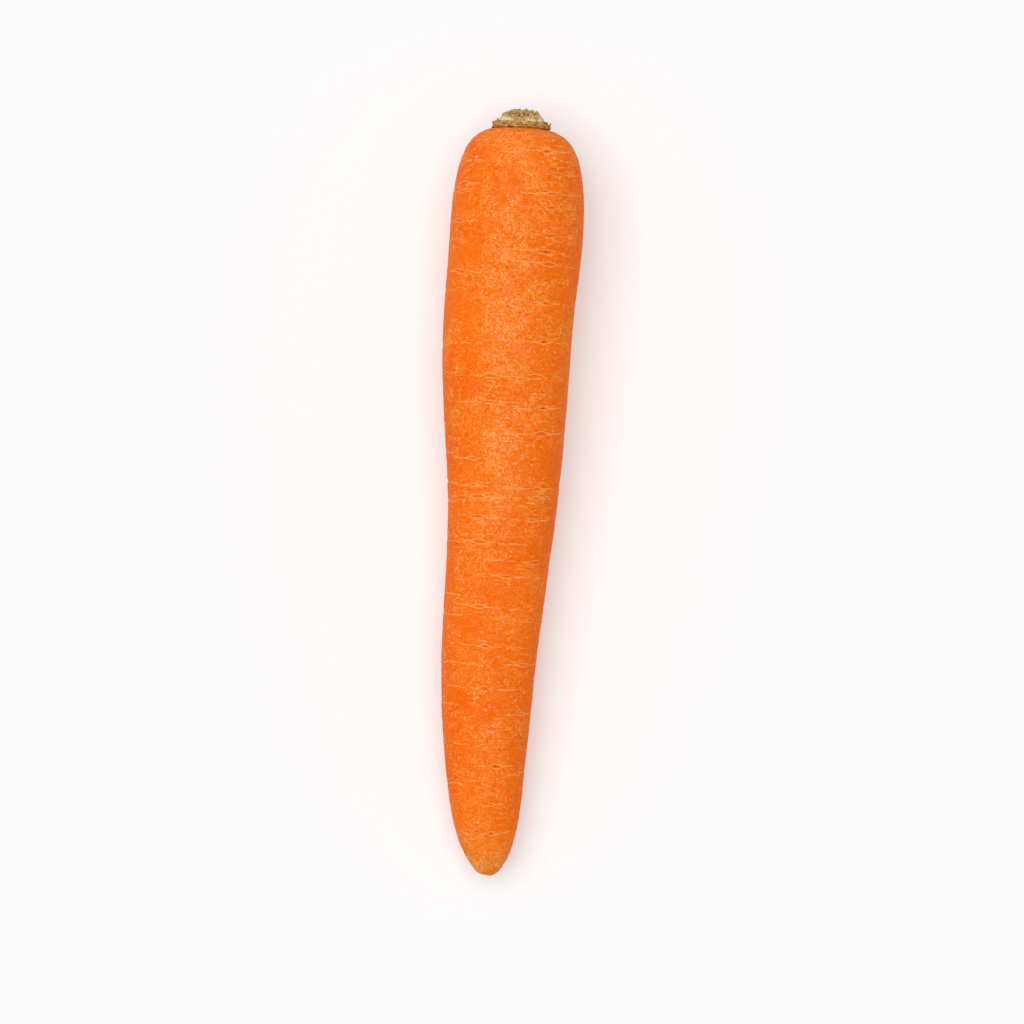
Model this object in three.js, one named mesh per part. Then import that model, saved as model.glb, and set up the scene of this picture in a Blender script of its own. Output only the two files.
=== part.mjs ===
// A carrot as picked, with its leaf stalks cut short, lying on a flat surface.
// Millimetres, +Z up. The crown points to +Y and the tip to -Y.
// The origin is the middle of the bottom of the carrot's box.
//
// Every piece is first made upright about the Y axis, with the tip of the root at
// height 0 and +Z as its upper side. It is then bent along the root's own axis and
// pressed flat where it rests.

import * as THREE from "three";

// The cut leaf stalks on the crown
const collarWidth = 14.6; // dry ring of the oldest leaf bases
const collarWall = 0.95;
const collarHeight = 1.6;
const collarDraft = 0.25; // how far the ring draws in at its foot and its rim
const outerStalkWall = 1.7;
const innerStalkWall = 1.5;
const topStalkSpan = 150; // degrees that the upper stalk of the outer whorl goes round
const stubHeight = 3.9; // crown to the cut, at the middle
const cutSlant = 14; // degrees that the cut rises towards the underside
const stalkLean = 31; // degrees that the stalks lean inwards above the collar
const heartRise = 0.5; // how far the bud stands above the cut
const fitGap = 0.3; // between neighbouring pieces

// The root
const rootLength = 195.5; // tip to crown, along its own axis
const shoulderWidth = 35; // the widest place
const shoulderDepth = 29; // from the crown down to the widest place
const shoulderRise = 23; // how far the side runs on upwards as it turns in
const shoulderSpread = 6.3; // how far the crown runs outwards as it turns down
const shoulderDrop = 2.1; // how far it has dropped there
const crownMargin = 0.4; // level crown left bare round the collar
const tipLength = 20; // the blunt end, below the taper
const tipWidth = 19; // where the taper runs into the blunt end
const tipDraft = 1.1; // how much the radius has drawn in half-way down the blunt end
const tipBluntness = 5.2; // how far the very end spreads before it turns up
const flatness = 0.97; // height of a section over its width
const restDepth = 0.3; // how deep the underside is pressed where it rests

// How much fuller than a straight taper the body is, as [share of its length, extra radius]
const bodySwell = [
  [0.18, 1],
  [0.5, 0.65],
  [0.74, 1],
];

// How far the axis wanders to the right, as [share of the root's length, distance]
const sideways = [
  [0, -3.8],
  [0.13, -4.6],
  [0.29, -3.5],
  [0.5, 0],
  [0.72, 1.2],
  [0.85, 3.5],
  [1, 4.9],
];

// How fine the faces are
const roundSides = 40;
const tipSteps = 9;
const bodySteps = 36;
const shoulderSteps = 10;
const axisSteps = 24;
const stalkSteps = 4;
const stalkArcSteps = 12;
const heartSides = 16;
const heartSteps = 6;

const shoulderRadius = shoulderWidth / 2;
const shoulderHeight = rootLength - shoulderDepth;
const tipRadius = tipWidth / 2;
const bodyLength = shoulderHeight - tipLength;
const crownRadius = collarWidth / 2 + crownMargin;
const seat = rootLength + fitGap;
const collarTop = rootLength + collarHeight;
const collarInnerRadius = collarWidth / 2 - collarWall;
const outerStalkRadius = collarInnerRadius - fitGap;
const innerStalkRadius = outerStalkRadius - outerStalkWall - fitGap;
const heartRadius = innerStalkRadius - innerStalkWall - fitGap;

// Outline of the root from the tip up to the crown, as radius and height
function rootOutline() {
  const swell = bodySwell.map(([share, extra]) => new THREE.Vector2(
    THREE.MathUtils.lerp(tipRadius, shoulderRadius, share) + extra,
    tipLength + share * bodyLength,
  ));
  const bodyFoot = new THREE.Vector2(tipRadius, tipLength);
  const bodyHead = new THREE.Vector2(shoulderRadius, shoulderHeight);
  const tip = new THREE.CubicBezierCurve(
    new THREE.Vector2(0, 0),
    new THREE.Vector2(tipBluntness, 0),
    new THREE.Vector2(tipRadius - tipDraft, tipLength / 2),
    bodyFoot,
  );
  const body = new THREE.SplineCurve([bodyFoot, ...swell, bodyHead]);
  const shoulder = new THREE.CubicBezierCurve(
    bodyHead,
    new THREE.Vector2(shoulderRadius, shoulderHeight + shoulderRise),
    new THREE.Vector2(crownRadius + shoulderSpread, rootLength - shoulderDrop),
    new THREE.Vector2(crownRadius, rootLength),
  );
  return [
    ...tip.getPoints(tipSteps),
    ...body.getSpacedPoints(bodySteps).slice(1),
    ...shoulder.getPoints(shoulderSteps).slice(1),
    new THREE.Vector2(crownRadius / 2, rootLength),
    new THREE.Vector2(0, rootLength),
  ];
}

const outline = rootOutline();

// Radius of the body at a height between its foot and its head
function bodyRadius(height) {
  const above = outline.findIndex((point) => point.y >= height);
  const top = outline[above];
  const bottom = outline[above - 1];
  return THREE.MathUtils.mapLinear(height, bottom.y, top.y, bottom.x, top.x);
}

// Height of the root's axis over the surface. Along the body it is what the underside
// needs to touch the surface, and past both ends of the body it runs on straight.
function restHeight(height) {
  const taper = (shoulderRadius - tipRadius) / bodyLength;
  const onBody = THREE.MathUtils.clamp(height, tipLength, shoulderHeight);
  return flatness * (bodyRadius(onBody) + (height - onBody) * taper) - restDepth;
}

const plan = new THREE.SplineCurve(sideways.map(([share, distance]) => (
  new THREE.Vector2(distance, share * rootLength)
)));

const axis = new THREE.CatmullRomCurve3(plan.getSpacedPoints(axisSteps).map((point) => (
  new THREE.Vector3(point.x, point.y, restHeight(point.y))
)));

// Bends an upright piece along the axis and presses flat what would go below the surface
function layDown(geometry) {
  const up = new THREE.Vector3(0, 0, 1);
  const points = geometry.attributes.position;
  for (let i = 0; i < points.count; i += 1) {
    const height = points.getY(i);
    const share = THREE.MathUtils.clamp(height / rootLength, 0, 1);
    const along = axis.getTangentAt(share);
    const across = along.clone().cross(up).normalize();
    const upwards = across.clone().cross(along);
    const place = axis.getPointAt(share)
      .addScaledVector(along, height - share * rootLength)
      .addScaledVector(across, points.getX(i))
      .addScaledVector(upwards, points.getZ(i) * flatness);
    points.setXYZ(i, place.x, place.y, Math.max(place.z, 0));
  }
  geometry.computeVertexNormals();
  return geometry;
}

// Draws stalks in towards the middle above the collar, all by the same share at one height
function leanInwards(geometry) {
  const rate = Math.tan(THREE.MathUtils.degToRad(stalkLean)) / outerStalkRadius;
  const points = geometry.attributes.position;
  for (let i = 0; i < points.count; i += 1) {
    const share = 1 - rate * Math.max(points.getY(i) - collarTop, 0);
    points.setX(i, points.getX(i) * share);
    points.setZ(i, points.getZ(i) * share);
  }
  return geometry;
}

function rootGeometry() {
  return layDown(new THREE.LatheGeometry(outline, roundSides));
}

function collarGeometry() {
  const outerRadius = collarWidth / 2;
  const ring = [
    new THREE.Vector2(collarInnerRadius, seat),
    new THREE.Vector2(outerRadius - collarDraft, seat),
    new THREE.Vector2(outerRadius, (seat + collarTop) / 2),
    new THREE.Vector2(outerRadius - collarDraft, collarTop),
    new THREE.Vector2(collarInnerRadius, collarTop),
    new THREE.Vector2(collarInnerRadius, seat),
  ];
  return layDown(new THREE.LatheGeometry(ring, roundSides));
}

// One cut leaf-stalk base, a crescent round the middle of the crown. facing is the
// direction of its back in degrees from the upper side, and span is how far it goes round.
function stalkGeometry(radius, wall, facing, span) {
  const innerRadius = radius - wall;
  const middle = THREE.MathUtils.degToRad(facing - 90);
  const half = THREE.MathUtils.degToRad(span) / 2 - fitGap / 2 / innerRadius;
  const crescent = new THREE.Shape();
  crescent.absarc(0, 0, radius, middle - half, middle + half, false);
  crescent.absarc(0, 0, innerRadius, middle + half, middle - half, true);
  crescent.closePath();
  const geometry = new THREE.ExtrudeGeometry(crescent, {
    depth: 1,
    steps: stalkSteps,
    curveSegments: stalkArcSteps,
    bevelEnabled: false,
  });
  geometry.rotateX(-Math.PI / 2);
  const slant = Math.tan(THREE.MathUtils.degToRad(cutSlant));
  const points = geometry.attributes.position;
  for (let i = 0; i < points.count; i += 1) {
    const cut = rootLength + stubHeight - points.getZ(i) * slant;
    points.setY(i, THREE.MathUtils.lerp(seat, cut, points.getY(i)));
  }
  return layDown(leanInwards(geometry));
}

function heartGeometry() {
  const top = rootLength + stubHeight + heartRise;
  const bud = new THREE.CubicBezierCurve(
    new THREE.Vector2(heartRadius, seat),
    new THREE.Vector2(heartRadius, top - heartRise),
    new THREE.Vector2(heartRadius / 2, top),
    new THREE.Vector2(0, top),
  );
  const profile = [new THREE.Vector2(0, seat), ...bud.getPoints(heartSteps)];
  return layDown(leanInwards(new THREE.LatheGeometry(profile, heartSides)));
}

const carrot = new THREE.Group();

function addPiece(name, geometry, color, roughness) {
  const material = new THREE.MeshStandardMaterial({ color, roughness, metalness: 0 });
  const piece = new THREE.Mesh(geometry, material);
  piece.name = name;
  carrot.add(piece);
}

// The upper stalk of the outer whorl and two lower ones share the ring, and so do two inner ones
function outerStalk(facing, span) {
  return stalkGeometry(outerStalkRadius, outerStalkWall, facing, span);
}

function innerStalk(facing) {
  return stalkGeometry(innerStalkRadius, innerStalkWall, facing, 180);
}

const lowerStalkSpan = (360 - topStalkSpan) / 2;
const lowerStalkFacing = (topStalkSpan + lowerStalkSpan) / 2;

addPiece("root", rootGeometry(), 0xf47a1c, 0.45);
addPiece("leaf_collar", collarGeometry(), 0x8f6233, 0.9);
addPiece("outer_stalk_top", outerStalk(0, topStalkSpan), 0xd2bd7e, 0.7);
addPiece("outer_stalk_right", outerStalk(lowerStalkFacing, lowerStalkSpan), 0xb59a58, 0.8);
addPiece("outer_stalk_left", outerStalk(-lowerStalkFacing, lowerStalkSpan), 0xa98c4e, 0.8);
addPiece("inner_stalk_right", innerStalk(70), 0xb8a05a, 0.8);
addPiece("inner_stalk_left", innerStalk(250), 0xa88f4a, 0.8);
addPiece("heart_bud", heartGeometry(), 0x9a8a40, 0.8);

const box = new THREE.Box3().setFromObject(carrot);
const boxCentre = box.getCenter(new THREE.Vector3());
carrot.position.set(-boxCentre.x, -boxCentre.y, -box.min.z);

export default carrot;
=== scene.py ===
import math
import random

import bmesh
import bpy
import numpy as np
from mathutils import Matrix, Vector, noise


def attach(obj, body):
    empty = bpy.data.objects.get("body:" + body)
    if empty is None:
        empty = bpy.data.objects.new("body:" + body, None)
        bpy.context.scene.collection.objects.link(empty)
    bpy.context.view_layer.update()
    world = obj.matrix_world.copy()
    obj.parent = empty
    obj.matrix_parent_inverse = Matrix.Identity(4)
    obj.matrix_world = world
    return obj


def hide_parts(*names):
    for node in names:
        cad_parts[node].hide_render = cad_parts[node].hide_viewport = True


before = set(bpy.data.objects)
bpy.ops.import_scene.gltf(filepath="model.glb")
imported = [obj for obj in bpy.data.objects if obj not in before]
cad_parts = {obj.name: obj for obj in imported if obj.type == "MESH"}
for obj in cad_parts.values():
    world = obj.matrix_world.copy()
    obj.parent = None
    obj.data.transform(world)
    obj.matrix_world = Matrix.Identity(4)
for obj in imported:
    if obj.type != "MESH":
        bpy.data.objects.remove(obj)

mm = 0.001
poleEdges = 12  # a vertex with this many edges is a pole, where a round piece closes
scene = bpy.context.scene
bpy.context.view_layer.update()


def smoothStep(low, high, value):
    share = np.clip((value - low) / (high - low), 0.0, 1.0)
    return share * share * (3.0 - 2.0 * share)


def mergedCopy(nodeName):
    bm = bmesh.new()
    bm.from_mesh(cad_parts[nodeName].data)
    bmesh.ops.remove_doubles(bm, verts=bm.verts, dist=1e-6)
    away = [f for f in bm.faces if all(len(v.link_edges) < poleEdges for v in f.verts)]
    bmesh.ops.join_triangles(bm, faces=away, angle_face_threshold=math.pi, angle_shape_threshold=math.pi)
    bm.normal_update()
    return bm


def newPiece(name, bm, material, nodeName):
    mesh = bpy.data.meshes.new(name)
    bm.to_mesh(mesh)
    bm.free()
    mesh.materials.append(material)
    mesh.shade_smooth()
    piece = bpy.data.objects.new(name, mesh)
    scene.collection.objects.link(piece)
    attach(piece, "root")
    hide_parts(nodeName)
    return piece


def modified(bm, kind, **settings):
    # what one modifier makes of the mesh, through a helper object
    mesh = bpy.data.meshes.new("helper")
    bm.to_mesh(mesh)
    helper = bpy.data.objects.new("helper", mesh)
    scene.collection.objects.link(helper)
    modifier = helper.modifiers.new("helper", kind)
    for name, value in settings.items():
        setattr(modifier, name, value)
    evaluated = helper.evaluated_get(bpy.context.evaluated_depsgraph_get())
    finished = bmesh.new()
    finished.from_mesh(evaluated.to_mesh())
    evaluated.to_mesh_clear()
    bpy.data.objects.remove(helper)
    bpy.data.meshes.remove(mesh)
    bm.free()
    finished.normal_update()
    return finished


def placesOf(bm):
    return np.array([vert.co for vert in bm.verts])


def normalsOf(bm):
    return np.array([vert.normal for vert in bm.verts])


def moveTo(bm, places):
    for vert, place in zip(bm.verts, places):
        vert.co = place


def grain(places, size, shift=0.0):
    # noise from -1 to 1 with lumps about this size, at every place
    return np.array([noise.noise(Vector(place)) for place in places / size + shift])


def setAttribute(piece, name, kind, values):
    layer = piece.data.attributes.new(name, kind, "POINT")
    field = "vector" if kind == "FLOAT_VECTOR" else "value"
    layer.data.foreach_set(field, np.ravel(values).astype(np.float32))


def paint(red, green, blue):
    # a screen colour from 0 to 255 as the shader's linear one
    shares = [c / 255 for c in (red, green, blue)]
    return tuple(c / 12.92 if c < 0.04045 else ((c + 0.055) / 1.055) ** 2.4 for c in shares)


def coloursOf(look):
    # a look's colours are its values of three numbers
    colours = {name: value for name, value in look.items() if isinstance(value, tuple) and len(value) == 3}
    return {name: paint(*value) for name, value in colours.items()}


def newMaterial(name):
    material = bpy.data.materials.new(name)
    material.use_nodes = True
    tree = material.node_tree
    tree.nodes.clear()
    output = tree.nodes.new("ShaderNodeOutputMaterial")
    shader = tree.nodes.new("ShaderNodeBsdfPrincipled")
    tree.links.new(shader.outputs["BSDF"], output.inputs["Surface"])
    return material, tree, shader


def put(tree, socket, value):
    # the value is another node's output, or a plain number, colour or vector
    if isinstance(value, bpy.types.NodeSocket):
        tree.links.new(value, socket)
    elif socket.type == "RGBA":
        socket.default_value = (*value, 1.0)
    else:
        socket.default_value = value


def maths(tree, kind, *values):
    node = tree.nodes.new("ShaderNodeMath")
    node.operation = kind
    for socket, value in zip(node.inputs, values):
        put(tree, socket, value)
    return node.outputs[0]


def times(tree, *values):
    total = values[0]
    for value in values[1:]:
        total = maths(tree, "MULTIPLY", total, value)
    return total


def plus(tree, *values):
    total = values[0]
    for value in values[1:]:
        total = maths(tree, "ADD", total, value)
    return total


def stretched(tree, vector, scale):
    node = tree.nodes.new("ShaderNodeMapping")
    put(tree, node.inputs["Vector"], vector)
    node.inputs["Scale"].default_value = scale
    return node.outputs[0]


def cloud(tree, vector, size, detail=2.0, roughness=0.5, distortion=0.0):
    # soft noise with patches about this many mm across
    node = tree.nodes.new("ShaderNodeTexNoise")
    put(tree, node.inputs["Vector"], vector)
    node.inputs["Scale"].default_value = 1.0 / (size * mm)
    node.inputs["Detail"].default_value = detail
    node.inputs["Roughness"].default_value = roughness
    node.inputs["Distortion"].default_value = distortion
    return node.outputs[0]


def strayed(tree, vector, size, amount, detail):
    # the same noise, from minus half the amount to plus half of it
    return maths(tree, "MULTIPLY_ADD", cloud(tree, vector, size, detail), amount, -0.5 * amount)


def ramp(tree, value, low, high, atLow=0.0, atHigh=1.0):
    node = tree.nodes.new("ShaderNodeMapRange")
    node.interpolation_type = "SMOOTHSTEP"
    put(tree, node.inputs["Value"], value)
    for socket, number in zip(list(node.inputs)[1:5], (low, high, atLow, atHigh)):
        socket.default_value = number
    return node.outputs[0]


def blend(tree, share, first, second):
    node = tree.nodes.new("ShaderNodeMix")
    node.data_type = "RGBA"
    put(tree, node.inputs[0], share)
    put(tree, node.inputs[6], first)
    put(tree, node.inputs[7], second)
    return node.outputs[2]


def lineAt(tree, value, middle, halfWidth):
    # 1 where the value is at the middle, fading to 0 at the half width
    away = maths(tree, "ABSOLUTE", maths(tree, "SUBTRACT", value, middle))
    return ramp(tree, away, 0.0, halfWidth, 1.0, 0.0)


def objectPlace(tree):
    return tree.nodes.new("ShaderNodeTexCoord").outputs["Object"]


def attribute(tree, name, output):
    node = tree.nodes.new("ShaderNodeAttribute")
    node.attribute_name = name
    return node.outputs[output]


def partsOf(tree, vector):
    node = tree.nodes.new("ShaderNodeSeparateXYZ")
    put(tree, node.inputs[0], vector)
    return node.outputs


def bumpOf(tree, height, distance):
    node = tree.nodes.new("ShaderNodeBump")
    node.inputs["Strength"].default_value = 1.0
    node.inputs["Distance"].default_value = distance * mm
    put(tree, node.inputs["Height"], height)
    return node.outputs[0]


rootShape = {  # mm
    "lumps": 0.22, "lumpSize": 26,
    "dents": 0.10, "dentSize": 8,
    "furrows": 0.085, "furrowSpacing": 3.0, "furrowBreaks": 1.1, "furrowSharpness": 5.0, "furrowPatch": 11.0,
    "crownWrinkles": 0.12, "crownWrinkleSize": 1.3, "crownReach": 10,
    "tipBumps": 0.22, "tipBumpSize": 2.4, "tipReach": 12,
    "plainUpTo": 1.2,  # the relief comes in over this height above the floor, so the underside rests flat
}

rootScars = {  # stations down from the crown in mm, and angles round from the top towards the right
    "rightRow": (
        (6, 29), (12, 38), (17, 31), (20.5, 31), (28, 31), (32, 28), (35, 32), (45, 34), (55.5, 35),
        (64.5, 27), (72.5, 38), (79, 37), (93, 37), (95.5, 38), (101, 33), (112, 44), (127, 50), (139, 47),
        (152, 52), (168, 56),
    ),
    "middleRow": (
        (15, -58), (25, -61), (39, -52), (56.5, -68), (64.5, -12), (71, -13), (85.5, -33), (92.5, -33),
        (95.5, -26), (101, -26), (107.5, -22), (116, 11), (124.5, -17), (134.5, -6), (145.5, -4), (155.5, 8),
        (165.5, 16), (176, 10), (184, 10),
    ),
    "darkStations": (6, 32, 55.5, 72.5, 165.5, 184), "darkShare": 0.15,
    "hiddenRows": (128, 208, 282), "hiddenFrom": 5.0, "hiddenTo": 186, "hiddenLag": 2.0,
    "hiddenSpacing": (5, 14), "wander": 9, "sway": 8, "swayLength": 31,
    "eyeHalf": (1.3, 2.3), "eyeHeight": (0.36, 0.66), "lineHalf": (7.0, 17.0),
    "narrowing": 0.4, "narrowingReach": (110, 190),
    "groove": 0.20, "grooveHalf": 0.34, "eyeGroove": 0.5, "lineGroove": 0.3,  # the last two are shares
    "lip": 0.05, "lipPlace": 1.9, "lipHalf": 0.3,
    "hatchReach": (9.0, 3.2), "mostHatching": 1.5, "crownHatching": 1.3, "crownHatchReach": (3.0, 14.0),
    "reach": 1.5, "pastEnd": 3.0,  # how far a scar counts, and how much further off it counts past its ends
    "seed": 12,
}

skinLook = {  # colours, sizes of the markings in mm, and how much of each
    "deep": (239, 95, 0), "bright": (245, 104, 0), "peach": (252, 128, 18), "crease": (222, 80, 0),
    "curl": (255, 153, 64), "dab": (255, 190, 126), "waxySheen": (255, 172, 110),
    "scarLine": (250, 164, 90), "scarFloor": (232, 92, 6), "slit": (140, 62, 8), "crown": (206, 104, 26),
    "tip": (222, 128, 36), "tipPale": (248, 184, 108), "tipEnd": (150, 96, 40),
    "broadSize": 30, "patchSize": 10.0, "speckleSize": 0.7, "curlSize": 1.1, "crackSize": 2.0,
    "hatchSize": 0.62, "driftSize": 9.0, "dabSize": 0.6, "chainSize": 6.5, "looseSize": 5.0, "bloomSize": 3.6,
    "patches": 0.26, "speckles": 0.26, "curls": 0.92, "creases": 0.45, "hatches": 0.72, "dabs": 0.62,
    "patchCurls": 0.66, "plainCurls": 0.30, "patchCreases": 0.70, "plainCreases": 0.28,
    "scarHatches": 0.6, "driftHatches": 0.5, "looseDabs": 0.6,
    "bloomAndSheen": 0.26, "plainBloom": 0.42, "curlBloom": 1.8, "paintedSheen": 0.12,
    "middle": -3.3, "sheenLean": -0.048, "sheenHalf": 12,  # the line of the painted highlight down the middle of the upper side
    "sheenBand": (14, 22),  # the heights over the floor where the painted highlight begins and is full
    "calming": (70, 130), "calmShare": 0.5,  # the stations where patches fade, and how much of them stays
    "scarLines": 0.9, "scarFloors": 0.5, "slits": 0.8,
    "outlineHalf": 0.24, "breakSize": 2.6, "slitLength": (0.12, 0.55), "slitWidth": (0.04, 0.17),
    "wander": 0.7, "wanderSize": 3.0, "ragged": 0.36, "raggedSize": 0.8,
    "tipPatches": (178.0, 196.0), "tipReach": (180.0, 199.0), "tipEndReach": (196.0, 200.5),
    "tips": 0.55, "tipCracks": 0.9, "tipEnds": 0.7, "crownReach": 1.2, "crowns": 0.3,
    "roughness": 0.42, "specular": 0.03, "bump": 0.09,
}


def walkRings(bm, pole):
    bm.verts.index_update()
    rings = [[pole]]
    seen = {pole}
    while rings[-1]:
        ring = {edge.other_vert(vert) for vert in rings[-1] for edge in vert.link_edges} - seen
        seen |= ring
        rings.append(sorted(ring, key=lambda vert: vert.index))  # in order, so that every run adds up alike
    return rings[:-1]


def middleOf(verts):
    return sum((vert.co for vert in verts), Vector()) / len(verts)


def unrollRoot(bm):
    # a flat map for the coarse root: across goes round it with the seam underneath, and up goes along it
    poles = sorted((v for v in bm.verts if len(v.link_edges) >= poleEdges), key=lambda v: v.co.y)
    rings = walkRings(bm, poles[0])
    sides = len(rings[1])
    centres = [middleOf(ring) for ring in rings]
    skin = [0.0]
    for low, high in zip(rings, rings[1:]):
        skin.append(skin[-1] + sum(min((v.co - w.co).length for w in low) for v in high) / len(high))
    place = {}
    for ring, centre, length in zip(rings, centres, skin):
        for vert in ring:
            out = vert.co - centre
            column = round(math.atan2(out.x, out.z) / math.tau * sides)
            place[vert] = Vector((0.5 + column / sides, length / skin[-1]))
    flatMap = bm.loops.layers.uv.new("OFBake")
    for face in bm.faces:
        spots = {loop: place[loop.vert].copy() for loop in face.loops}
        onRing = [spot for loop, spot in spots.items() if loop.vert not in poles]
        if max(s.x for s in onRing) - min(s.x for s in onRing) > 0.5:
            for spot in onRing:
                spot.x += 1.0 if spot.x < 0.5 else 0.0
        for loop, spot in spots.items():
            if loop.vert in poles:
                spot.x = sum(s.x for s in onRing) / len(onRing)
            loop[flatMap].uv = spot
    return centres, np.array(skin) / skin[-1]


def splitLengthwise(bm, cuts):
    flatMap = bm.loops.layers.uv["OFBake"]

    def climbs(edge):
        loop = edge.link_loops[0]
        return abs(loop[flatMap].uv.y - loop.link_loop_next[flatMap].uv.y) > 1e-5

    bmesh.ops.subdivide_edges(bm, edges=[e for e in bm.edges if climbs(e)], cuts=cuts, use_grid_fill=True)
    allWays = {"use_axis_x": True, "use_axis_y": True, "use_axis_z": True}
    for repeat in range(2):
        bmesh.ops.smooth_vert(bm, verts=bm.verts, factor=0.5, **allWays)


def scarList():
    # station, angle, half width and half height of the eye, half length of the line, darkness
    dice = random.Random(rootScars["seed"])
    shown = [*rootScars["rightRow"], *rootScars["middleRow"]]
    hidden = []
    wander = rootScars["wander"]
    for row, facing in enumerate(rootScars["hiddenRows"]):
        station = rootScars["hiddenFrom"] + rootScars["hiddenLag"] * row
        while station < rootScars["hiddenTo"]:
            sway = rootScars["sway"] * math.sin(station / rootScars["swayLength"] + row)
            hidden.append((station, facing + dice.uniform(-wander, wander) + sway))
            station += dice.uniform(*rootScars["hiddenSpacing"])
    scars = []
    for station, angle in shown + hidden:
        wide = dice.uniform(*rootScars["eyeHalf"])
        high = dice.uniform(*rootScars["eyeHeight"])
        line = dice.uniform(*rootScars["lineHalf"])
        byChance = float(dice.random() < rootScars["darkShare"])
        dark = float(station in rootScars["darkStations"]) if (station, angle) in shown else byChance
        narrower = 1.0 - rootScars["narrowing"] * float(smoothStep(*rootScars["narrowingReach"], station))
        scars.append((station, angle, wide * narrower, high, line * narrower, dark))
    return np.array(scars)


def scarSpace(station, angle, radius):
    # for every vertex, its place beside the nearest scar in mm, how much that scar counts, its shape, and how
    # much hatching lies there
    scars = scarList()
    down = scars[:, 0] - station[:, None]
    turn = (angle[:, None] - scars[:, 1] + 180.0) % 360.0 - 180.0
    across = np.radians(turn) * radius[:, None]
    far = np.abs(down) + rootScars["pastEnd"] * smoothStep(0.8, 1.0, np.abs(across) / scars[:, 4])
    wide, high = rootScars["hatchReach"]
    hatch = np.exp(-(across / wide) ** 2 - (down / high) ** 2).sum(axis=1)
    nearest = far.argmin(axis=1)
    rows = np.arange(len(station))
    down, across, shape = down[rows, nearest], across[rows, nearest], scars[nearest, 2:]
    weight = 1.0 - smoothStep(0.7 * rootScars["reach"], rootScars["reach"], np.abs(down))
    weight *= 1.0 - smoothStep(0.55, 1.0, np.abs(across) / shape[:, 2])
    return across, down, weight, shape, np.minimum(hatch, rootScars["mostHatching"])


def scarRelief(across, down, weight, shape):
    inside = np.exp(-(across / shape[:, 0]) ** 2)
    half = rootScars["grooveHalf"] + rootScars["eyeGroove"] * shape[:, 1] * inside
    depth = rootScars["lineGroove"] + (1.0 - rootScars["lineGroove"]) * inside
    groove = np.exp(-(down / half) ** 2) * depth
    lip = np.exp(-((np.abs(down) - rootScars["lipPlace"] * half) / rootScars["lipHalf"]) ** 2) * inside
    return weight * (rootScars["lip"] * lip - rootScars["groove"] * groove)


def rootRelief(places, station, angle, length):
    # slow swellings, broken furrows round the root, wrinkles at the crown and bumps at the tip
    shape = rootShape
    here = places / mm
    turn = np.radians(angle)
    height = shape["lumps"] * grain(here, shape["lumpSize"])
    height += shape["dents"] * grain(here, shape["dentSize"], 7.0)
    breaks = shape["furrowBreaks"]
    rings = np.stack([breaks * np.sin(turn), station / shape["furrowSpacing"], breaks * np.cos(turn)], axis=1)
    crease = np.maximum(0.0, 1.0 - shape["furrowSharpness"] * np.abs(grain(rings, 1.0)))
    height -= shape["furrows"] * crease * (0.5 + grain(here, shape["furrowPatch"]))
    nearCrown = np.maximum(0.0, 1.0 - station / shape["crownReach"])
    wrinkles = grain(here * (0.35, 1.4, 0.35), shape["crownWrinkleSize"])
    height += shape["crownWrinkles"] * nearCrown * wrinkles
    nearTip = np.maximum(0.0, 1.0 - (length - station) / shape["tipReach"])
    return height + shape["tipBumps"] * nearTip * grain(here, shape["tipBumpSize"])


def makeRoot():
    bm = mergedCopy("root")
    centres, skin = unrollRoot(bm)
    bm = modified(bm, "SUBSURF", levels=2, render_levels=2, uv_smooth="NONE")
    splitLengthwise(bm, 1)
    bm.normal_update()
    flatMap = bm.loops.layers.uv["OFBake"]
    spots = np.array([vert.link_loops[0][flatMap].uv for vert in bm.verts])
    places = placesOf(bm)
    normals = normalsOf(bm)

    middles = np.array(centres)
    steps = np.linalg.norm(np.diff(middles, axis=0), axis=1)
    heights = np.concatenate(([0.0], np.cumsum(steps))) / mm
    station = heights[-1] - np.interp(spots[:, 1], skin, heights)
    axisPlace = np.stack([np.interp(spots[:, 1], skin, middles[:, i]) for i in range(3)], axis=1)
    radius = np.linalg.norm(places - axisPlace, axis=1) / mm
    angle = (spots[:, 0] - 0.5) * 360.0

    across, down, weight, shape, hatch = scarSpace(station, angle, radius)
    relief = rootRelief(places, station, angle, heights[-1]) + scarRelief(across, down, weight, shape)
    relief *= smoothStep(0.0, rootShape["plainUpTo"], places[:, 2] / mm)
    places += normals * relief[:, None] * mm
    places[:, 2] = np.maximum(places[:, 2], 0.0)
    moveTo(bm, places)
    piece = newPiece("carrot_root", bm, skinMaterial(), "root")
    setAttribute(piece, "scarPlace", "FLOAT_VECTOR", np.stack([across, down, weight], axis=1))
    setAttribute(piece, "scarShape", "FLOAT_VECTOR", shape[:, [0, 1, 3]])
    setAttribute(piece, "station", "FLOAT", station)
    nearCrown = 1.0 - smoothStep(*rootScars["crownHatchReach"], station)
    setAttribute(piece, "hatching", "FLOAT", hatch + rootScars["crownHatching"] * nearCrown)
    print("root:", len(piece.data.polygons), "faces,", len(scarList()), "scars")
    return piece


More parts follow.
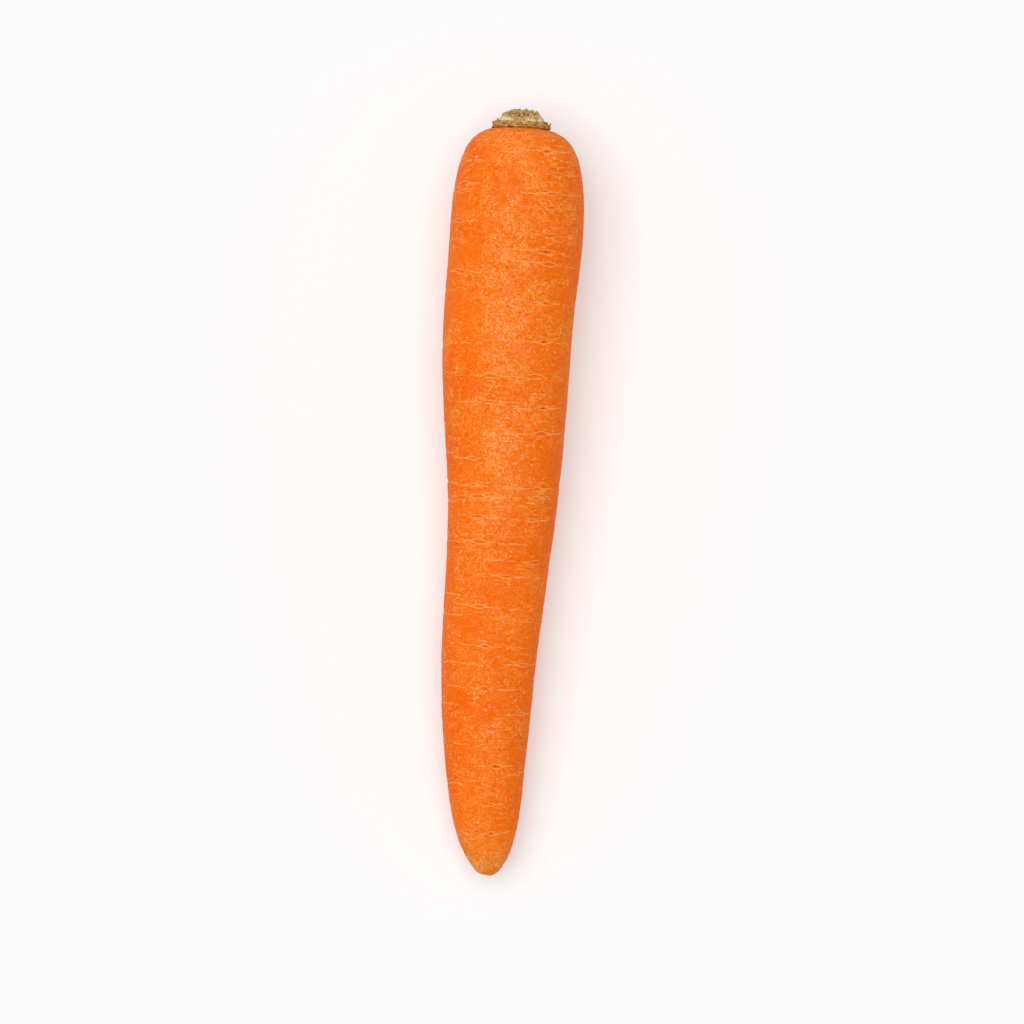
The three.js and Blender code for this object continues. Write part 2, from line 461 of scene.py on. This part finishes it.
def scarMarks(tree, here):
    # the pale eye and line, the floor inside the eye, and the dark slit of some
    across, down, weight = partsOf(tree, attribute(tree, "scarPlace", "Vector"))
    wide, high, dark = partsOf(tree, attribute(tree, "scarShape", "Vector"))
    wander = strayed(tree, here, skinLook["wanderSize"], skinLook["wander"], 1.0)
    ragged = strayed(tree, here, skinLook["raggedSize"], skinLook["ragged"], 2.0)
    offLine = maths(tree, "ABSOLUTE", plus(tree, down, wander, ragged))
    outward = maths(tree, "DIVIDE", across, wide)
    bell = maths(tree, "EXPONENT", times(tree, outward, outward, -1.0))
    edge = times(tree, high, bell)
    outline = lineAt(tree, maths(tree, "SUBTRACT", offLine, edge), 0.0, skinLook["outlineHalf"])
    breaks = ramp(tree, cloud(tree, here, skinLook["breakSize"], 2.0), 0.38, 0.54)
    outline = times(tree, outline, weight, maths(tree, "MAXIMUM", breaks, bell))
    floor = times(tree, ramp(tree, maths(tree, "SUBTRACT", edge, offLine), -0.02, 0.14), weight)
    sideways = maths(tree, "ABSOLUTE", across)
    short = ramp(tree, sideways, *skinLook["slitLength"], 1.0, 0.0)
    thin = ramp(tree, offLine, *skinLook["slitWidth"], 1.0, 0.0)
    return outline, floor, times(tree, short, thin, dark, weight)


def skinMarks(tree, here, patches):
    # pale curls with darker creases beside them, fine hatching by the scars and in drifts,
    # and small pale dabs, in chains and loose
    look = skinLook
    nearScars = attribute(tree, "hatching", "Fac")
    swirl = cloud(tree, here, look["curlSize"], 2.0, 0.6, 0.8)
    curls = lineAt(tree, swirl, 0.50, 0.075)
    share = plus(tree, times(tree, patches, look["patchCurls"]), look["plainCurls"])
    curls = times(tree, curls, share)
    creases = lineAt(tree, swirl, 0.40, 0.05)
    share = plus(tree, times(tree, patches, look["patchCreases"]), look["plainCreases"])
    creases = times(tree, creases, share)

    lying = cloud(tree, stretched(tree, here, (0.22, 1.0, 0.22)), look["hatchSize"], 2.0, 0.6)
    byScars = times(tree, nearScars, look["scarHatches"])
    drifts = ramp(tree, cloud(tree, here, look["driftSize"]), 0.36, 0.70)
    lyingShare = plus(tree, byScars, times(tree, drifts, look["driftHatches"]))
    hatches = times(tree, ramp(tree, lying, 0.55, 0.66), lyingShare)

    chains = cloud(tree, stretched(tree, here, (1.0, 0.6, 1.0)), look["chainSize"], 3.0, 0.6, 0.6)
    chains = lineAt(tree, chains, 0.54, 0.045)
    dots = cloud(tree, stretched(tree, here, (0.7, 1.0, 0.7)), look["dabSize"], 1.0)
    dots = ramp(tree, dots, 0.57, 0.70)
    loose = ramp(tree, cloud(tree, here, look["looseSize"], 1.0), 0.58, 0.74)
    loose = times(tree, loose, look["looseDabs"])
    dabs = times(tree, dots, maths(tree, "MAXIMUM", chains, loose))
    return curls, creases, hatches, dabs


def skinMaterial():
    look = skinLook
    material, tree, shader = newMaterial("carrotSkin")
    colour = coloursOf(look)
    here = objectPlace(tree)
    station = attribute(tree, "station", "Fac")

    broad = ramp(tree, cloud(tree, here, look["broadSize"], 2.0), 0.36, 0.64)
    across, along, up = partsOf(tree, here)
    # a painted highlight: a paler band down the middle of the upper side, where the light falls
    offSheenLine = maths(tree, "MULTIPLY_ADD", along, look["sheenLean"], across)
    bySheenLine = lineAt(tree, offSheenLine, look["middle"] * mm, look["sheenHalf"] * mm)
    begins, full = look["sheenBand"]
    sheenBand = times(tree, bySheenLine, ramp(tree, up, begins * mm, full * mm))
    paintedSheen = times(tree, sheenBand, look["paintedSheen"])
    # the patches take in the painted highlight band, so they are paler and fuller along it
    patches = plus(tree, cloud(tree, here, look["patchSize"], 4.5, 0.58, 0.5), paintedSheen)
    patches = plus(tree, patches, ramp(tree, station, *look["tipPatches"], 0.0, 0.08))
    calmer = ramp(tree, station, *look["calming"], 1.0, look["calmShare"])
    patches = times(tree, ramp(tree, patches, 0.47, 0.63), calmer)
    speckle = cloud(tree, here, look["speckleSize"], 2.0, 0.6)
    curls, creases, hatches, dabs = skinMarks(tree, here, patches)

    skin = blend(tree, broad, colour["deep"], colour["bright"])
    skin = blend(tree, times(tree, ramp(tree, speckle, 0.42, 0.62), look["speckles"]), skin, colour["peach"])
    skin = blend(tree, times(tree, patches, look["patches"]), skin, colour["peach"])
    skin = blend(tree, times(tree, creases, look["creases"]), skin, colour["crease"])
    skin = blend(tree, times(tree, hatches, look["hatches"]), skin, colour["curl"])
    skin = blend(tree, times(tree, curls, look["curls"]), skin, colour["curl"])
    skin = blend(tree, times(tree, dabs, look["dabs"]), skin, colour["dab"])

    # a pale waxy bloom with a painted sheen, down the lit middle of the upper side, strongest in the curls
    powder = ramp(tree, cloud(tree, here, look["bloomSize"], 3.0, 0.6), 0.36, 0.60)
    inCurls = plus(tree, times(tree, curls, look["curlBloom"]), look["plainBloom"])
    bloomAndSheen = times(tree, sheenBand, powder, look["bloomAndSheen"], calmer, inCurls)
    skin = blend(tree, bloomAndSheen, skin, colour["waxySheen"])

    outline, floor, slit = scarMarks(tree, here)
    skin = blend(tree, times(tree, floor, look["scarFloors"]), skin, colour["scarFloor"])
    skin = blend(tree, times(tree, outline, look["scarLines"]), skin, colour["scarLine"])
    skin = blend(tree, times(tree, slit, look["slits"]), skin, colour["slit"])

    # the rough tip and the rim of the crown
    uneven = times(tree, maths(tree, "SUBTRACT", cloud(tree, here, 4.0, 2.0), 0.5), 14.0)
    fromCrown = plus(tree, station, uneven)
    tipShare = ramp(tree, fromCrown, *look["tipReach"])
    cracks = lineAt(tree, cloud(tree, here, look["crackSize"], 3.0, 0.6, 1.2), 0.5, 0.06)
    skin = blend(tree, times(tree, tipShare, look["tips"]), skin, colour["tip"])
    skin = blend(tree, times(tree, tipShare, cracks, look["tipCracks"]), skin, colour["tipPale"])
    tipEnd = ramp(tree, fromCrown, *look["tipEndReach"])
    skin = blend(tree, times(tree, tipEnd, look["tipEnds"]), skin, colour["tipEnd"])
    crownRim = ramp(tree, station, look["crownReach"], 0.0)
    skin = blend(tree, times(tree, crownRim, look["crowns"]), skin, colour["crown"])

    put(tree, shader.inputs["Base Color"], skin)
    pale = maths(tree, "MAXIMUM", curls, maths(tree, "MAXIMUM", dabs, hatches))
    dull = plus(tree, look["roughness"], times(tree, pale, 0.22), times(tree, speckle, 0.10),
                times(tree, tipShare, 0.15))
    put(tree, shader.inputs["Roughness"], dull)
    height = plus(tree, times(tree, pale, 0.35), times(tree, speckle, 0.35), times(tree, outline, 0.35),
                  times(tree, slit, -1.2), times(tree, creases, -0.3), times(tree, cracks, tipShare, 0.6))
    put(tree, shader.inputs["Normal"], bumpOf(tree, height, look["bump"]))
    shader.inputs["Specular IOR Level"].default_value = look["specular"]
    return material


makeRoot()


def crownFrame():
    # the stub's pieces are shaped in the crown's own space: x across, y up from it, z towards the upper side
    bm = mergedCopy("root")
    pole = max(bm.verts, key=lambda v: v.co.y if len(v.link_edges) >= poleEdges else -1.0)
    up = pole.normal.normalized()
    across = up.cross(Vector((0, 0, 1))).normalized()
    frameMatrix = Matrix((across, up, across.cross(up))).transposed().to_4x4()
    frameMatrix.translation = pole.co
    bm.free()
    return frameMatrix


crownMatrix = crownFrame()
crownTurn = np.array(crownMatrix.to_3x3())
crownPole = np.array(crownMatrix.translation)


def toCrown(places):
    return (places - crownPole) @ crownTurn / mm


def layOnCrown(bm):
    bmesh.ops.transform(bm, matrix=crownMatrix @ Matrix.Scale(mm, 4), verts=bm.verts)
    bm.normal_update()


stubShape = {  # mm
    "voxel": 0.115,
    "sink": 0.6, "sinkReach": 0.5,
    "ribSize": 0.42, "lumpSize": 2.4,
    "pitSize": 0.27, "pitScale": (0.5, 1.3), "pitSpread": 0.38, "pitDepth": 0.5, "pitStrength": (0.5, 1.0),
    "rimReach": 1.3, "raggedSize": 0.75, "rimDepth": 0.2,
    "sliverWidth": (0.22, 0.36), "sliverLength": (0.35, 0.65), "sliverBend": 0.8,
    "sliverInset": 1.6, "sliverSink": 0.25, "sliverSpan": 0.85, "sliverDepth": 0.5, "sliverDry": 0.9,
    "crumbs": 0.09, "crumbSize": 0.4,
    "seed": 5,
}

# each piece's name, how dry it is from 0 to 1, how many pits and slivers it has, and how deep its ribs, its
# ragged rim and its swellings are in mm
stubs = {
    "outer_stalk_top": {
        "piece": "stub_outer_top", "dry": 0.14, "pits": 8, "slivers": 0,
        "ribs": 0.04, "ragged": 0.20, "lumps": 0.26,
    },
    "outer_stalk_right": {
        "piece": "stub_outer_right", "dry": 0.70, "pits": 5, "slivers": 3,
        "ribs": 0.15, "ragged": 0.46, "lumps": 0.30,
    },
    "outer_stalk_left": {
        "piece": "stub_outer_left", "dry": 0.50, "pits": 5, "slivers": 0,
        "ribs": 0.12, "ragged": 0.22, "lumps": 0.26,
    },
    "inner_stalk_right": {
        "piece": "stub_inner_right", "dry": 0.45, "pits": 6, "slivers": 1,
        "ribs": 0.12, "ragged": 0.34, "lumps": 0.26,
    },
    "inner_stalk_left": {
        "piece": "stub_inner_left", "dry": 0.44, "pits": 6, "slivers": 0,
        "ribs": 0.12, "ragged": 0.24, "lumps": 0.24,
    },
}

stubLook = {
    "sidePale": (242, 218, 166), "sideDeep": (206, 174, 112),
    "dryPale": (208, 162, 102), "dryDeep": (142, 96, 46),
    "cutPale": (226, 194, 124), "cutDeep": (170, 134, 66), "pit": (86, 70, 22), "rim": (156, 108, 50),
    "fibreSize": 0.38, "stainSize": 2.1, "crumbSize": 0.42, "shadeSize": 2.8, "stains": 1.4,
    "rims": 0.8, "footShade": 0.7, "dryCut": 0.5,
    "roughness": 0.68, "specular": 0.3, "bump": 0.12,
}


def remeshed(nodeName):
    return modified(mergedCopy(nodeName), "REMESH", mode="VOXEL", voxel_size=stubShape["voxel"] * mm)


def sunk(places):
    # lets the foot of a piece into the crown
    foot = 1.0 - smoothStep(stubShape["sinkReach"], 2.0 * stubShape["sinkReach"], places[:, 1])
    places[:, 1] -= stubShape["sink"] * foot
    return places


def addSliver(bm, foot, dice):
    # a torn fibre that stands on the rim and bends over
    width = dice.uniform(*stubShape["sliverWidth"])
    length = dice.uniform(*stubShape["sliverLength"])
    most = stubShape["sliverBend"]
    bend = Vector((dice.uniform(-most, most), 0.0, dice.uniform(-most, most)))
    first = len(bm.verts)
    thin = 0.25 * width
    cone = bmesh.ops.create_cone(bm, cap_ends=True, segments=8, radius1=width, radius2=thin, depth=1.0)
    low = [vert for vert in cone["verts"] if vert.co.z < 0.0]
    long = [edge for vert in low for edge in vert.link_edges if edge.calc_length() > 0.5]
    bmesh.ops.subdivide_edges(bm, edges=long, cuts=5)
    bm.verts.ensure_lookup_table()
    for vert in bm.verts[first:]:
        rise = vert.co.z + 0.5
        vert.co = foot + Vector((vert.co.x, length * rise, 0.6 * vert.co.y)) + bend * rise ** 2 * length


def makeStub(nodeName, choice, dice, material):
    bm = remeshed(nodeName)
    places = toCrown(placesOf(bm))
    normals = normalsOf(bm) @ crownTurn
    onCut = smoothStep(0.6, 0.9, normals[:, 1])
    rim = places[(normals[:, 1] > 0.9) & (places[:, 1] > 1.5)]
    slope, middle = np.polyfit(rim[:, 2], rim[:, 1], 1)
    depth = np.maximum(slope * places[:, 2] + middle - places[:, 1], 0.0)

    facing = math.atan2(places[:, 0].mean(), places[:, 2].mean())
    turn = np.arctan2(places[:, 0], places[:, 2]) - facing
    turn = (turn + math.pi) % math.tau - math.pi
    radius = np.hypot(places[:, 0], places[:, 2])
    top = depth < stubShape["rimDepth"]
    pits = np.zeros(len(places))
    for i in range(choice["pits"]):
        share = (i + 0.5 + dice.uniform(-0.2, 0.2)) / choice["pits"]
        pitTurn = turn[top].min() + share * (turn[top].max() - turn[top].min())
        pitRadius = radius[top].mean() + dice.uniform(-stubShape["pitSpread"], stubShape["pitSpread"])
        away = np.hypot((turn - pitTurn) * pitRadius, radius - pitRadius)
        size = stubShape["pitSize"] * dice.uniform(*stubShape["pitScale"])
        pits = np.maximum(pits, np.exp(-(away / size) ** 2) * dice.uniform(*stubShape["pitStrength"]))
    pits *= onCut

    shift = dice.uniform(0, 50)
    fibres = grain(places * (1.0, 0.10, 1.0), stubShape["ribSize"], shift)
    ragged = grain(places * (1.0, 0.0, 1.0), stubShape["raggedSize"], shift)
    ragged += 0.5 * grain(places * (1.0, 0.0, 1.0), 0.4 * stubShape["raggedSize"], shift)
    nearRim = 1.0 - smoothStep(0.0, stubShape["rimReach"], depth)
    lumps = choice["lumps"] * grain(places, stubShape["lumpSize"], shift)
    crumbs = stubShape["crumbs"] * grain(places, stubShape["crumbSize"], shift) * onCut
    places += normals * (lumps + crumbs + choice["ribs"] * fibres * (1.0 - onCut))[:, None]
    places[:, 1] += choice["ragged"] * ragged * nearRim - stubShape["pitDepth"] * pits
    moveTo(bm, sunk(places))
    outer = radius.max() - stubShape["sliverInset"]
    span = stubShape["sliverSpan"]
    for i in range(choice["slivers"]):
        sliverTurn = facing + dice.uniform(span * turn[top].min(), span * turn[top].max())
        across, up = outer * math.sin(sliverTurn), outer * math.cos(sliverTurn)
        addSliver(bm, Vector((across, slope * up + middle - stubShape["sliverSink"], up)), dice)

    extra = len(bm.verts) - len(places)
    rises = placesOf(bm)[:, 1]
    layOnCrown(bm)
    piece = newPiece(choice["piece"], bm, material, nodeName)
    depth = np.concatenate((depth, np.full(extra, stubShape["sliverDepth"])))
    pits = np.concatenate((pits, np.zeros(extra)))
    dryness = np.concatenate((np.full(len(places), choice["dry"]), np.full(extra, stubShape["sliverDry"])))
    setAttribute(piece, "cutPlace", "FLOAT_VECTOR", np.stack([depth, pits, dryness], axis=1))
    setAttribute(piece, "rise", "FLOAT", rises)


def stubMaterial():
    look = stubLook
    material, tree, shader = newMaterial("cutStalk")
    colour = coloursOf(look)
    here = objectPlace(tree)
    depth, pit, dry = partsOf(tree, attribute(tree, "cutPlace", "Vector"))
    rise = attribute(tree, "rise", "Fac")
    fibres = cloud(tree, stretched(tree, here, (1.0, 0.13, 1.0)), look["fibreSize"], 3.0, 0.6)
    stains = cloud(tree, here, look["stainSize"], 3.0, 0.6)
    crumbs = cloud(tree, here, look["crumbSize"], 3.0, 0.65)

    shading = times(tree, fibres, 0.35)
    shading = plus(tree, shading, times(tree, cloud(tree, here, look["shadeSize"], 2.0), 0.65))
    fresh = blend(tree, ramp(tree, shading, 0.36, 0.54), colour["sideDeep"], colour["sidePale"])
    old = blend(tree, ramp(tree, fibres, 0.36, 0.62), colour["dryDeep"], colour["dryPale"])
    uneven = maths(tree, "MULTIPLY_ADD", stains, look["stains"], -0.5 * look["stains"])
    oldShare = ramp(tree, plus(tree, dry, uneven), 0.22, 0.60)
    side = blend(tree, oldShare, fresh, old)
    # painted shade low on each stub, where it goes into the collar
    side = blend(tree, times(tree, ramp(tree, rise, 1.7, 1.1), look["footShade"]), side, colour["dryDeep"])
    cut = blend(tree, ramp(tree, crumbs, 0.36, 0.60), colour["cutDeep"], colour["cutPale"])
    cut = blend(tree, times(tree, oldShare, look["dryCut"]), cut, old)
    edge = times(tree, lineAt(tree, depth, 0.25, 0.4), ramp(tree, stains, 0.42, 0.56), look["rims"])
    skin = blend(tree, ramp(tree, depth, 0.06, 0.26, 1.0, 0.0), side, cut)
    skin = blend(tree, edge, skin, colour["rim"])
    skin = blend(tree, ramp(tree, pit, 0.15, 0.6), skin, colour["pit"])
    put(tree, shader.inputs["Base Color"], skin)
    put(tree, shader.inputs["Roughness"], plus(tree, look["roughness"], times(tree, crumbs, 0.25)))
    height = plus(tree, fibres, times(tree, crumbs, 0.6))
    put(tree, shader.inputs["Normal"], bumpOf(tree, height, look["bump"]))
    shader.inputs["Specular IOR Level"].default_value = look["specular"]
    return material


def makeStubs():
    dice = random.Random(stubShape["seed"])
    material = stubMaterial()
    for nodeName, choice in stubs.items():
        makeStub(nodeName, choice, dice, material)
    print("stubs:", len(stubs))


makeStubs()

heartShape = {  # mm, and radians of twist for each mm up
    "pleats": 5, "pleatDepth": 0.34, "pleatMiddle": 0.6, "pleatReach": (0.2, 0.9), "twist": 0.5,
    "lumps": 0.26, "lumpSize": 0.8,
}

heartLook = {
    "deep": (122, 88, 34), "mid": (178, 138, 66), "pale": (214, 178, 108),
    "fibreSize": 0.35, "roughness": 0.7, "specular": 0.3, "bump": 0.1,
}


def makeHeart():
    # a bud of tiny folded leaves
    bm = remeshed("heart_bud")
    places = toCrown(placesOf(bm))
    normals = normalsOf(bm) @ crownTurn
    turn = np.arctan2(places[:, 0], places[:, 2]) + heartShape["twist"] * places[:, 1]
    fold = np.abs(np.sin(turn * heartShape["pleats"] / 2.0)) - heartShape["pleatMiddle"]
    fold *= smoothStep(*heartShape["pleatReach"], np.hypot(places[:, 0], places[:, 2]))
    relief = heartShape["pleatDepth"] * fold + heartShape["lumps"] * grain(places, heartShape["lumpSize"])
    places += normals * relief[:, None]
    moveTo(bm, sunk(places))
    layOnCrown(bm)

    material, tree, shader = newMaterial("heartLeaf")
    colour = coloursOf(heartLook)
    here = objectPlace(tree)
    height = attribute(tree, "fold", "Fac")
    fibres = cloud(tree, stretched(tree, here, (1.0, 0.2, 1.0)), heartLook["fibreSize"], 3.0, 0.6)
    skin = blend(tree, ramp(tree, fibres, 0.35, 0.62), colour["mid"], colour["pale"])
    # painted shade in the hollows between the pleats, darkest where the relief is lowest
    skin = blend(tree, ramp(tree, height, -0.1, 0.12, 1.0, 0.0), skin, colour["deep"])
    put(tree, shader.inputs["Base Color"], skin)
    put(tree, shader.inputs["Roughness"], plus(tree, heartLook["roughness"], times(tree, fibres, 0.2)))
    put(tree, shader.inputs["Normal"], bumpOf(tree, fibres, heartLook["bump"]))
    shader.inputs["Specular IOR Level"].default_value = heartLook["specular"]
    piece = newPiece("stub_heart", bm, material, "heart_bud")
    setAttribute(piece, "fold", "FLOAT", relief)
    print("heart:", len(piece.data.polygons), "faces")


makeHeart()

collarShape = {  # mm
    "layers": 0.15, "layerSize": 0.34, "lumps": 0.26, "lumpSize": 1.9, "fibres": 0.14, "fibreSize": 0.5,
    "topReach": (0.7, 1.6), "ragged": 0.55, "raggedSize": 0.8, "rimThinning": 0.5,
    "flakeGrid": (14, 10), "flakeThickness": 0.3, "flakeTear": 0.45, "flakeBulge": 0.12,
    "seed": 8,
}

# torn ends of old leaf bases: facing in degrees from the top towards the right, span in degrees, height
# of the foot and the tip over the crown, radius at the foot and the tip, and how pointed it is
flakes = (
    (90, 34, 0.2, 1.7, 6.9, 7.5, 1.0), (-90, 28, 0.4, 1.4, 6.9, 7.6, 1.1), (84, 24, -0.3, 1.0, 7.1, 7.6, 1.0),
    (-88, 26, -0.3, 0.9, 7.1, 7.5, 1.0), (60, 30, 0.3, 1.9, 6.9, 6.9, 0.7), (24, 34, 0.2, 1.5, 7.1, 7.2, 0.6),
    (-14, 38, 0.1, 1.4, 7.15, 7.25, 0.6), (-52, 36, 0.2, 1.7, 7.0, 7.0, 0.7),
    (128, 34, 0.2, 2.9, 6.9, 6.8, 1.0), (158, 30, 0.2, 2.2, 7.1, 7.2, 1.2),
    (187, 36, 0.2, 3.2, 6.8, 6.7, 0.9), (222, 32, 0.2, 2.1, 7.1, 7.3, 1.2),
    (246, 26, 0.2, 2.8, 6.8, 6.7, 1.1), (5, 50, -0.3, 0.5, 7.25, 7.45, 0.5),
    (140, 44, -0.3, 0.7, 7.3, 7.6, 0.6), (205, 48, -0.3, 0.7, 7.3, 7.55, 0.6),
)

collarLook = {
    "deep": (124, 80, 38), "mid": (196, 142, 74), "pale": (224, 180, 116), "creviceShade": (112, 64, 34),
    "layerSize": 0.36, "patchSize": 1.5, "creviceShading": 0.75,
    "roughness": 0.78, "specular": 0.25, "bump": 0.15,
}


def addFlake(bm, facing, span, foot, tip, footRadius, tipRadius, point, shift):
    before = set(bm.verts)
    columns, rows = collarShape["flakeGrid"]
    bmesh.ops.create_grid(bm, x_segments=columns, y_segments=rows, size=0.5)
    fresh = [vert for vert in bm.verts if vert not in before]
    for vert in fresh:
        side = 2.0 * vert.co.x
        rise = vert.co.y + 0.5
        tear = collarShape["flakeTear"] * noise.noise(Vector((side * span / 9.0, shift, 0.0)))
        top = (1.0 - abs(side) ** (1.0 / point) * 0.75) + tear
        turn = math.radians(facing + 0.5 * span * side * (1.0 - 0.25 * rise))
        bulge = collarShape["flakeBulge"] * noise.noise(Vector((side * span / 6.0, rise * 2.0, shift)))
        radius = footRadius + (tipRadius - footRadius) * rise ** 2 + bulge
        height = foot + (tip - foot) * rise * max(top, 0.25)
        vert.co = (radius * math.sin(turn), height, radius * math.cos(turn))
    faces = [face for face in bm.faces if face.verts[0] not in before]
    bmesh.ops.recalc_face_normals(bm, faces=faces)
    bmesh.ops.solidify(bm, geom=faces, thickness=collarShape["flakeThickness"])


def makeCollar():
    shape = collarShape
    bm = remeshed("leaf_collar")
    places = toCrown(placesOf(bm))
    normals = normalsOf(bm) @ crownTurn
    nearTop = smoothStep(*shape["topReach"], places[:, 1])
    relief = shape["layers"] * grain(places * (0.18, 1.0, 0.18), shape["layerSize"])
    relief += shape["lumps"] * grain(places * (1.0, 0.4, 1.0), shape["lumpSize"])
    relief += shape["fibres"] * grain(places * (1.0, 0.15, 1.0), shape["fibreSize"], 9.0) * nearTop
    ragged = grain(places * (1.0, 0.0, 1.0), shape["raggedSize"])
    ragged += 0.5 * grain(places * (1.0, 0.0, 1.0), 0.35 * shape["raggedSize"])
    radius = np.hypot(places[:, 0], places[:, 2])
    wall = 0.5 * (radius.max() + radius.min())
    thinned = wall + (radius - wall) * (1.0 - shape["rimThinning"] * nearTop)
    places[:, [0, 2]] *= (thinned / radius)[:, None]
    places += normals * relief[:, None]
    places[:, 1] += shape["ragged"] * ragged * nearTop
    moveTo(bm, sunk(places))
    dice = random.Random(shape["seed"])
    for flake in flakes:
        addFlake(bm, *flake, dice.uniform(0, 50))
    rises = placesOf(bm)[:, 1]
    layOnCrown(bm)
    piece = newPiece("dry_leaf_collar", bm, collarMaterial(), "leaf_collar")
    setAttribute(piece, "rise", "FLOAT", rises)
    print("collar:", len(piece.data.polygons), "faces,", len(flakes), "torn ends")


def collarMaterial():
    look = collarLook
    material, tree, shader = newMaterial("dryLeafBase")
    colour = coloursOf(look)
    here = objectPlace(tree)
    rise = attribute(tree, "rise", "Fac")
    layers = cloud(tree, stretched(tree, here, (0.22, 1.0, 0.22)), look["layerSize"], 4.0, 0.65)
    patches = cloud(tree, here, look["patchSize"], 3.0, 0.6)
    skin = blend(tree, ramp(tree, layers, 0.38, 0.52), colour["deep"], colour["mid"])
    bleached = times(tree, ramp(tree, layers, 0.50, 0.64), ramp(tree, patches, 0.40, 0.60))
    skin = blend(tree, bleached, skin, colour["pale"])
    # painted shade in the crevice where the collar's foot meets the crown, in uneven patches
    foot = ramp(tree, plus(tree, rise, times(tree, patches, 1.2)), 1.05, 0.55)
    skin = blend(tree, times(tree, foot, look["creviceShading"]), skin, colour["creviceShade"])
    put(tree, shader.inputs["Base Color"], skin)
    put(tree, shader.inputs["Roughness"], plus(tree, look["roughness"], times(tree, patches, 0.2)))
    put(tree, shader.inputs["Normal"], bumpOf(tree, layers, look["bump"]))
    shader.inputs["Specular IOR Level"].default_value = look["specular"]
    return material


makeCollar()

studio = {
    "cameraAcross": -0.15, "cameraAlong": -4.8,  # mm, what the camera looks straight down on
    "viewWidth": 267.5, "viewLevel": 15,         # mm, how much it takes in at this height over the floor
    "lens": 120, "sensor": 36,
    "floorSize": 10.0, "floorColour": (0.72, 0.72, 0.72), "floorGlow": 0.22, "floorRoughness": 0.95,
    "lampStrength": 2.34, "lampSpread": 70, "lampPlace": (-0.15, 0.12, 1.0),
    "skyHorizon": 0.85, "skySide": 0.13, "skyTop": 0.42,
    "lowBand": (0.12, 0.30), "highBand": (0.35, 0.95),  # where the sky changes, 0 level and 1 overhead
}


def makeFloor():
    bm = bmesh.new()
    bmesh.ops.create_grid(bm, x_segments=1, y_segments=1, size=studio["floorSize"] / 2)
    mesh = bpy.data.meshes.new("floor")
    bm.to_mesh(mesh)
    bm.free()
    floor = bpy.data.objects.new("floor", mesh)
    scene.collection.objects.link(floor)
    material, tree, shader = newMaterial("paleFloor")
    put(tree, shader.inputs["Base Color"], studio["floorColour"])
    shader.inputs["Roughness"].default_value = studio["floorRoughness"]
    shader.inputs["Specular IOR Level"].default_value = 0.0
    shader.inputs["Emission Color"].default_value = (1.0, 1.0, 1.0, 1.0)
    shader.inputs["Emission Strength"].default_value = studio["floorGlow"]
    mesh.materials.append(material)


def makeSky():
    # pale behind the floor's far edge, dimmer at the sides, brighter overhead
    world = bpy.data.worlds.new("studio")
    scene.world = world
    world.use_nodes = True
    tree = world.node_tree
    direction = tree.nodes.new("ShaderNodeTexCoord").outputs["Generated"]
    rise = partsOf(tree, direction)[2]
    low = ramp(tree, rise, *studio["lowBand"], studio["skyHorizon"], studio["skySide"])
    high = ramp(tree, rise, *studio["highBand"], 0.0, studio["skyTop"] - studio["skySide"])
    tree.nodes["Background"].inputs["Color"].default_value = (1.0, 1.0, 1.0, 1.0)
    put(tree, tree.nodes["Background"].inputs["Strength"], plus(tree, low, high))


def makeStudio():
    makeFloor()
    makeSky()
    lamp = bpy.data.lights.new("softLamp", "SUN")
    lamp.energy = studio["lampStrength"]
    lamp.angle = math.radians(studio["lampSpread"])
    holder = bpy.data.objects.new("softLamp", lamp)
    scene.collection.objects.link(holder)
    holder.rotation_euler = (-Vector(studio["lampPlace"])).to_track_quat("-Z", "Y").to_euler()
    scene.view_settings.view_transform = "Standard"

    camera = bpy.data.objects.new("camera", bpy.data.cameras.new("camera"))
    scene.collection.objects.link(camera)
    camera.data.lens = studio["lens"]
    camera.data.sensor_width = studio["sensor"]
    away = (studio["viewWidth"] * studio["lens"] / studio["sensor"] + studio["viewLevel"]) * mm
    camera.location = (studio["cameraAcross"] * mm, studio["cameraAlong"] * mm, away)
    camera.rotation_euler = (0.0, 0.0, 0.0)
    scene.camera = camera
    print("studio: camera", round(away, 3), "m up")


makeStudio()
